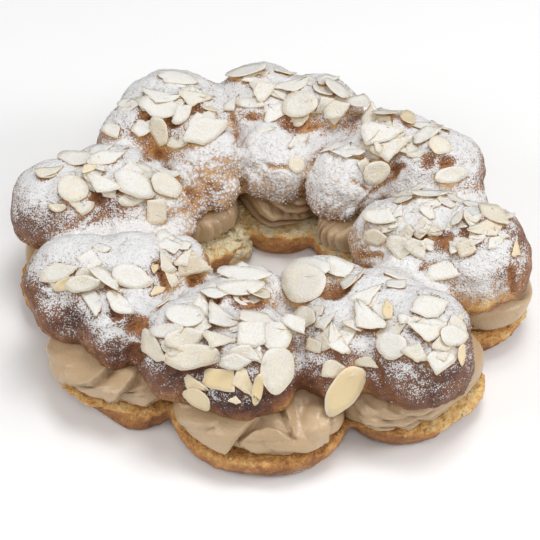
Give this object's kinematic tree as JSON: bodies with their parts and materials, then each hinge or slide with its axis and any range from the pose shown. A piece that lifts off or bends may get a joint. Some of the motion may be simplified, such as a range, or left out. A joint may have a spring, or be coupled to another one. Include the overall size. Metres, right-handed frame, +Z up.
{
  "type": "paris brest pastry",
  "caption": "Crown of piped choux buns, sliced level and filled with fluted praline cream, with flaked almonds and sugar on top.",
  "frame": {"origin": "centre of the bounding box in plan, at the level the pastry stands on", "axes": "+Z up through the hole of the crown; -Y towards the front, the side the camera sees nearest"},
  "size_m": [0.2524, 0.228, 0.0718],
  "materials": {
    "lid_crust": "baked choux crust, dusted with icing sugar, matte",
    "base_crust": "baked choux crust and open crumb, matte",
    "praline_cream": "piped praline cream, soft sheen"
  },
  "bodies": {
    "root": {"base_crown": "base_crust", "cream_1": "praline_cream", "cream_2": "praline_cream", "cream_3": "praline_cream", "cream_4": "praline_cream", "cream_5": "praline_cream", "cream_6": "praline_cream", "cream_7": "praline_cream", "cream_8": "praline_cream", "lid_crown": "lid_crust"}
  },
  "joints": []
}
